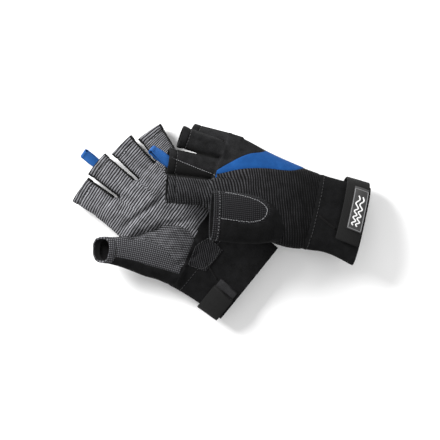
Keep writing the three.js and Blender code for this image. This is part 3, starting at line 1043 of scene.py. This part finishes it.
def make_thumb(glove, sleeve):
    """Plain and knitted parts of the thumb's sleeve, and its hem."""
    hem = sleeve.beyond(thumb_hem_value)
    tube = sleeve.where(thumb_hem_value)
    # the right glove's thumb takes the darker copy of the knit: painted shade
    knit = "knit" if glove["name"] == "left" else "shaded_knit"
    parts = (
        ("thumb_plain", tube.beyond(grip_value), "stretch", "thumb_sleeve", "stretch_fabric", FABRIC),
        ("thumb_knit", tube.where(grip_value), knit, "thumb_grip", "knit_grip", FABRIC),
        ("thumb_hem_fold", hem.swelled(RAISED_HEM), knit, "thumb_hem", "binding_tape", HEM_THICKNESS),
    )
    for name, piece, material, replaced, slot, thickness in parts:
        thing = piece.object(name, material, thickness, thumb_weave)
        bend_with_thumb(thing, glove)
        attach(thing, glove, None, slot, replaced)


# ---- strap, label, piping and binding at the cuff ----
def closed_rings(rings, sides, first=0):
    """Faces of a solid made of rings of points, one ring after another, with both ends closed."""
    faces = []
    for i in range(rings - 1):
        for k in range(sides):
            a, b = first + i * sides + k, first + i * sides + (k + 1) % sides
            faces.append((a, b, b + sides, a + sides))
    last = first + (rings - 1) * sides
    return faces + [tuple(range(first, first + sides))[::-1], tuple(range(last, last + sides))]


def cuff_point(glove, s, angle, height):
    """Point above the cuff's fabric at an angle counted from the thumb edge towards the back."""
    middle, half_width, half_depth, _ = hand_section(glove, s)
    cosine, sine = math.cos(math.radians(angle)), math.sin(math.radians(angle))
    a, b = half_width + height, half_depth + height
    reach = (abs(cosine / a) ** SECTION + abs(sine / b) ** SECTION) ** (-1 / SECTION)
    return np.array((s, middle + reach * cosine, reach * sine))


def band(glove, name, material, angles, stations, heights):
    """Strip with rounded edges around the cuff."""
    (first, last), (low, high), (bottom, top) = angles, stations, heights
    steps = max(int(abs(last - first) / 2), 4)
    soft = min((top - bottom) * 0.45, 0.6)
    bevel = soft * 0.3
    section = [
        (low, bottom + soft), (low + bevel, bottom + bevel), (low + soft, bottom),
        (high - soft, bottom), (high - bevel, bottom + bevel), (high, bottom + soft),
        (high, top - soft), (high - bevel, top - bevel), (high - soft, top),
        ((low + high) / 2, top + 0.1),
        (low + soft, top), (low + bevel, top - bevel), (low, top - soft),
    ]
    points, weave, travelled, before = [], [], 0.0, None
    for i in range(steps + 1):
        angle = first + (last - first) * i / steps
        middle = cuff_point(glove, (low + high) / 2, angle, top)
        travelled += 0.0 if before is None else np.linalg.norm(middle - before)
        before = middle
        for s, height in section:
            points.append(cuff_point(glove, s, angle, height))
            weave.append((travelled, s, height))
    # the section runs the other way round than a ring does, so each face is turned over
    faces = [face[:1] + face[:0:-1] for face in closed_rings(steps + 1, len(section))]
    return make_mesh(name, glove, np.array(points), faces, MATERIALS[material], np.array(weave))


def tube(glove, name, material, path, radius, sides=10):
    """Round cord along a line of points."""
    path = np.asarray(path, float)
    along = np.gradient(path, axis=0)
    along /= np.linalg.norm(along, axis=1)[:, None]
    helper = np.array((0.13, 0.21, 0.97))
    across = np.cross(helper, along)
    across /= np.linalg.norm(across, axis=1)[:, None]
    up = np.cross(along, across)
    points, weave = [], []
    for i, centre in enumerate(path):
        for k in range(sides):
            angle = 2 * math.pi * k / sides
            points.append(centre + radius * (math.cos(angle) * across[i] + math.sin(angle) * up[i]))
            weave.append((i * 0.8, radius * angle, 0))
    faces = closed_rings(len(path), sides)
    return make_mesh(name, glove, np.array(points), faces, MATERIALS[material], np.array(weave))


def make_closure(glove):
    """Strap with its hook and loop pads, label and cuff binding."""
    closure = glove["closure"]
    end, base_end = closure["tab_end"], closure["base_end"]
    strap = (STRAP_START, STRAP_START + STRAP_WIDTH)
    label_body = "glove" if glove["name"] == "left" else "closure"
    label_start = STRAP_START + 0.8
    label = (label_start, label_start + LABEL_WIDTH)
    parts = (
        ("hooks", "hook", (end + 4, end + 26), (4, 23), (1.5, 2.6), "closure", "hook_tape", "hook_pad"),
        ("loops", "loop", (end - 4, end + 25), (3, 24), (0.2, 1.2), "glove", "loop_tape", "loop_pad"),
        (
            "label_plate", "label_frame", closure["label"], label, (4.4, 5.5),
            label_body, "label_rubber", "strap_label",
        ),
    )
    for name, material, angles, stations, heights, *place in parts:
        attach(band(glove, name, material, angles, stations, heights), glove, *place)
    web = band(glove, "strap_web", "strap", (end, base_end), strap, (2.7, 4.3))
    bend(web, placed(glove, [(13, 0, height) for height in closure["bend"]]))
    attach(web, glove, None, "strap_webbing", "strap_base", "strap_tab")
    make_label_mark(glove, label, closure["label"], label_body)
    binding = band(glove, "cuff_binding_tape", "binding", (0, 360), (0.5, 6), (-3.4, -1.5))
    attach(binding, glove, "glove", "binding_tape", "cuff_binding")


def make_label_mark(glove, stations, angles, owner):
    """A raised rim and two waves: a plain mark that stands for no maker."""
    low, high = stations
    first, last = angles
    span = last - first

    def path(shares, steps=60):
        """Line of points on the plate, from shares of its width and of its length."""
        rows = [shares(i / steps) for i in range(steps + 1)]
        return [cuff_point(glove, low + (high - low) * a, first + span * b, 5.45) for a, b in rows]

    lines = (
        ("rim_in", lambda u: (0.94, 0.03 + 0.94 * u)),
        ("rim_out", lambda u: (0.06, 0.03 + 0.94 * u)),
        ("rim_first", lambda u: (0.06 + 0.88 * u, 0.03)),
        ("rim_last", lambda u: (0.06 + 0.88 * u, 0.97)),
    )
    for name, shares in lines:
        rim = tube(glove, f"label_{name}", "label", path(shares), 0.35)
        attach(rim, glove, owner, "label_rubber")
    for row, middle in enumerate((0.36, 0.64)):
        def wave(u, middle=middle):
            return middle + 0.11 * math.sin(2 * math.pi * 4 * u), 0.12 + 0.76 * u

        mark = tube(glove, f"label_wave_{row + 1}", "label_mark", path(wave), 0.7)
        attach(mark, glove, owner, "label_rubber")


def make_piping(glove, ends):
    """Raised cord along the cuff's opening."""
    (s0, t0), (s1, t1) = ends
    side = 1 if glove["name"] == "right" else -1
    path = []
    for share in np.linspace(0, 1, 25):
        s, t = s0 + (s1 - s0) * share, t0 + (t1 - t0) * share
        middle, half_width, half_depth, _ = hand_section(glove, s)
        rise = half_depth * (1 - abs((t - middle) / half_width) ** SECTION) ** (1 / SECTION)
        path.append((s, t, side * (rise + 0.2)))
    cord = tube(glove, "vent_cord", "binding", path, 0.9)
    attach(cord, glove, "glove", "binding_tape", "vent_piping")


# ---- pull loops ----
def make_loop(glove):
    """Folded ribbon that comes out of the middle finger's hem."""
    _, hem, *_ = glove["fingers"]["middle"]
    root = np.array((hem[0] + 1 + glove["loop_turn"] * 0.1, hem[1], hem[2] + 3))
    turn = math.radians(glove["loop_turn"])
    out = np.array((math.cos(turn), -math.sin(turn), 0))
    side = np.array((math.sin(turn), math.cos(turn), 0))
    twist = math.radians(LOOP_TWIST)
    first, last = LOOP_ENDS
    leg = [
        (x, -1.7 - 0.5 * math.sin(math.pi * (x - first) / (last - first)))
        for x in np.linspace(first, last, 14)
    ]
    turns = np.linspace(0.15, math.pi - 0.15, 10)
    fold = [(last + 0.4 + 2.7 * math.sin(a), -2.2 * math.cos(a)) for a in turns]
    profile = leg + fold + [(x, -y) for x, y in leg[::-1]]
    columns = np.linspace(-LOOP_WIDTH / 2, LOOP_WIDTH / 2, 7)
    points, weave, faces, travelled = [], [], [], 0.0
    for i, (x, y) in enumerate(profile):
        if i:
            travelled += math.hypot(x - profile[i - 1][0], y - profile[i - 1][1])
        lean = twist * np.clip(x / 14, 0, 1)
        for c in columns:
            across, up = c * math.cos(lean) - y * math.sin(lean), c * math.sin(lean) + y * math.cos(lean)
            points.append(root + out * x + side * across + np.array((0, 0, up)))
            weave.append((travelled, c, 0))
    width = len(columns)
    for i in range(len(profile) - 1):
        for k in range(width - 1):
            a = i * width + k
            faces.append((a, a + 1, a + width + 1, a + width))
    material = MATERIALS["blue_webbing"]
    ribbon = make_mesh("loop_ribbon", glove, np.array(points), faces, material, np.array(weave))
    thicken(ribbon, 1.0, 0.0)
    bend(ribbon, placed(glove, (root - 6 * out, root + out)))
    attach(ribbon, glove, None, "blue_webbing", "pull_loop")


# ---- heel patch at the heel of each palm ----
HEEL_OUTLINE = ((63, 4), (57, 24), (40, 18), (40, -8), (58, -9))


def heel_value(glove, points):
    """Negative on the patch at the heel of the palm."""
    return np.maximum(outline_distance(points, HEEL_OUTLINE), points[:, 2] + 1)


def heel_weave(glove, points):
    """The patch's ribs run along the hand."""
    return points[:, (1, 0, 2)]


def make_heel(glove, skin):
    patch = skin.where(heel_value).swelled(PATCH_RISE)
    thing = patch.object("heel_patch_fabric", "heel", 1.0, heel_weave)
    attach(thing, glove, "glove", "grip_fabric", "heel_patch")


# ---- stitches ----
def stitch_line(skin, name, material, path, body=None, pitch=3.4, length=2.3, radius=0.32):
    """Row of short stitches laid on the fabric along a line of points, on a body if one is given."""
    tree = BVHTree.FromPolygons(skin.points.tolist(), skin.triangles.tolist())
    path = np.asarray(path, float)
    steps = np.linalg.norm(np.diff(path, axis=0), axis=1)
    travelled = np.concatenate(([0], np.cumsum(steps)))
    points, weave, faces = [], [], []
    rings = ((-0.5, 0.35), (-0.36, 0.9), (0, 1.0), (0.36, 0.9), (0.5, 0.35))
    sides = 6
    for middle in np.arange(pitch / 2, travelled[-1], pitch):
        spots = [[np.interp(middle + d, travelled, path[:, k]) for k in range(3)] for d in (-0.5, 0.5)]
        place, normal, _, _ = tree.find_nearest(np.mean(spots, axis=0).tolist())
        place, normal = np.array(place), np.array(normal)
        along = np.subtract(spots[1], spots[0])
        along -= normal * along.dot(normal)
        along /= np.linalg.norm(along)
        across = np.cross(normal, along)
        first = len(points)
        for share, size in rings:
            for k in range(sides):
                angle = 2 * math.pi * k / sides
                offset = across * math.cos(angle) + normal * math.sin(angle)
                lift = normal * radius * (0.7 - 3.2 * share * share)
                points.append(place + along * share * length + offset * radius * size + lift)
                weave.append((share * length, angle, middle))
        faces += closed_rings(len(rings), sides, first)
    thing = make_mesh(name, skin.glove, np.array(points), faces, MATERIALS[material], np.array(weave))
    attach(thing, skin.glove, body, "binding_tape")
    return thing


def rounded_path(corners, steps=8):
    """Smooth line through the corners."""
    corners = np.asarray(corners, float)
    places = np.arange(len(corners))
    fine = np.linspace(0, len(corners) - 1, steps * len(corners))
    return np.stack([smooth_curve(places, corners[:, k], fine) for k in range(3)], axis=1)


def around(centre, across, up, half, depth, angles=(0, 360)):
    """Oval line of points around a sleeve, a little outside it."""
    turns = np.radians(np.linspace(*angles, 60))[:, None]
    return centre + 1.1 * (half * np.cos(turns) * across + depth * np.sin(turns) * up)


def stitch_fingers(glove, skin):
    """Hem stitches of the four fingers, and the light seam along the middle finger's gusset."""
    for finger in FINGERS:
        root, along, across, up, length, half, _ = finger_axes(glove, finger)
        centre = root + along * (length - HEM - 0.9)
        line = around(centre, across, up, half, glove["finger_depth"])
        stitch_line(skin, f"{finger}_hem_stitches", "dark_thread", line, "fingers")
    if glove["gusset"]:
        root, along, across, up, length, half, root_half = finger_axes(glove, "middle")
        top = glove["finger_depth"] * up
        start = root + top + (root_half - BORDER - 0.6) * across
        end = root + along * (length - 1) + top + (half - BORDER - glove["gusset"] - 0.6) * across
        line = start + (end - start) * np.linspace(0, 1, 20)[:, None]
        seam = stitch_line(skin, "gusset_stitches", "thread", line, None, 2.2, 1.7, 0.25)
        bend_at_knuckles(seam, glove)


def stitch_hand(glove, skin):
    """Stitches around the cuff's seam and the heel patch."""
    middle, half, depth, _ = hand_section(glove, CUFF)
    line = around(np.array((CUFF + 1.2, middle, 0)), np.array((0, 1, 0)), np.array((0, 0, 1)), half, depth)
    stitch_line(skin, "cuff_stitches", "dark_thread", line, "glove")
    inset = [(s + (50 - s) * 0.1, t + (6 - t) * 0.1, -20) for s, t in HEEL_OUTLINE]
    patch = skin.where(heel_value).swelled(PATCH_RISE + 0.05)
    line = rounded_path(inset + inset[:1])
    stitch_line(patch, "heel_stitches", "dark_thread", line, "glove")


def stitch_thumb(glove, sleeve):
    """Stitches of the thumb's hem and around its knitted patch."""
    points, along, across, up, widths, depths, u = thumb_frames(glove)
    i = int(np.argmin(np.abs(u - 1.0)))
    centre = points[i] - along[i] * (HEM + 0.8)
    line = around(centre, across[i], up[i], widths[i], depths[i])
    line = line - along[i] * (glove["thumb_slant"] * ((centre - line) @ up[i]))[:, None]
    material = "thread" if glove["name"] == "right" else "dark_thread"
    rows = [stitch_line(sleeve, "thumb_hem_stitches", material, line, None, 3.0, 2.2, 0.3)]
    if glove["name"] == "right":
        line = rounded_path([(s, t, 32) for s, t in ((140, 9), *THUMB_PATCH[1:-1], (140, 44.5))])
        rows.append(stitch_line(sleeve, "thumb_patch_stitches", "thread", line, None, 2.6, 2.0, 0.26))
    for row in rows:
        bend_with_thumb(row, glove)


# ---- floor, light and camera ----
def make_stage():
    bpy.ops.mesh.primitive_plane_add(size=6.0, location=(0, 0, -0.0005))
    floor = bpy.context.object
    floor.name = "floor"
    paper = bpy.data.materials.new("paper")
    paper.use_nodes = True
    shader = paper.node_tree.nodes["Principled BSDF"]
    shader.inputs["Base Color"].default_value = (0.96, 0.96, 0.96, 1)
    shader.inputs["Roughness"].default_value = 0.95
    floor.data.materials.append(paper)


def make_lamp(name, place, size, power):
    light = bpy.data.lights.new(name, "AREA")
    light.size = size
    light.energy = power
    lamp = bpy.data.objects.new(name, light)
    lamp.location = place
    lamp.rotation_euler = (-Vector(place)).to_track_quat("-Z", "Y").to_euler()
    bpy.context.scene.collection.objects.link(lamp)


def make_lights():
    world = bpy.data.worlds.new("studio")
    world.use_nodes = True
    background = world.node_tree.nodes["Background"]
    background.inputs["Color"].default_value = (1, 1, 1, 1)
    background.inputs["Strength"].default_value = 0.62
    bpy.context.scene.world = world
    make_lamp("key", (-0.8, 0.6, 0.62), 0.45, 24.0)
    make_lamp("fill", (0.8, -0.3, 1.0), 0.8, 3.5)
    make_lamp("edge", (0.1, 1.2, 0.45), 0.6, 4.0)


def make_camera():
    camera = bpy.data.cameras.new("camera")
    camera.sensor_width = 36.0
    height, subject_height, span = 1.43, 0.03, 0.418
    camera.lens = camera.sensor_width * (height - subject_height) / span
    holder = bpy.data.objects.new("camera", camera)
    holder.location = (-0.0014, -0.0006, height)
    bpy.context.scene.collection.objects.link(holder)
    bpy.context.scene.camera = holder


# ---- the pair ----
PIPING = {"left": ((45, 11), (27, 17)), "right": ((45, 12), (27, 19))}


def make_glove(glove):
    skin, sleeve = open_skin(glove)
    make_hand(glove, skin)
    make_thumb(glove, sleeve)
    make_closure(glove)
    make_piping(glove, PIPING[glove["name"]])
    make_loop(glove)
    make_heel(glove, skin)
    stitch_hand(glove, skin)
    stitch_fingers(glove, skin)
    stitch_thumb(glove, sleeve)


for pair in (LEFT, RIGHT):
    make_glove(pair)
make_stage()
make_lights()
make_camera()
bpy.context.scene.view_settings.view_transform = "Standard"
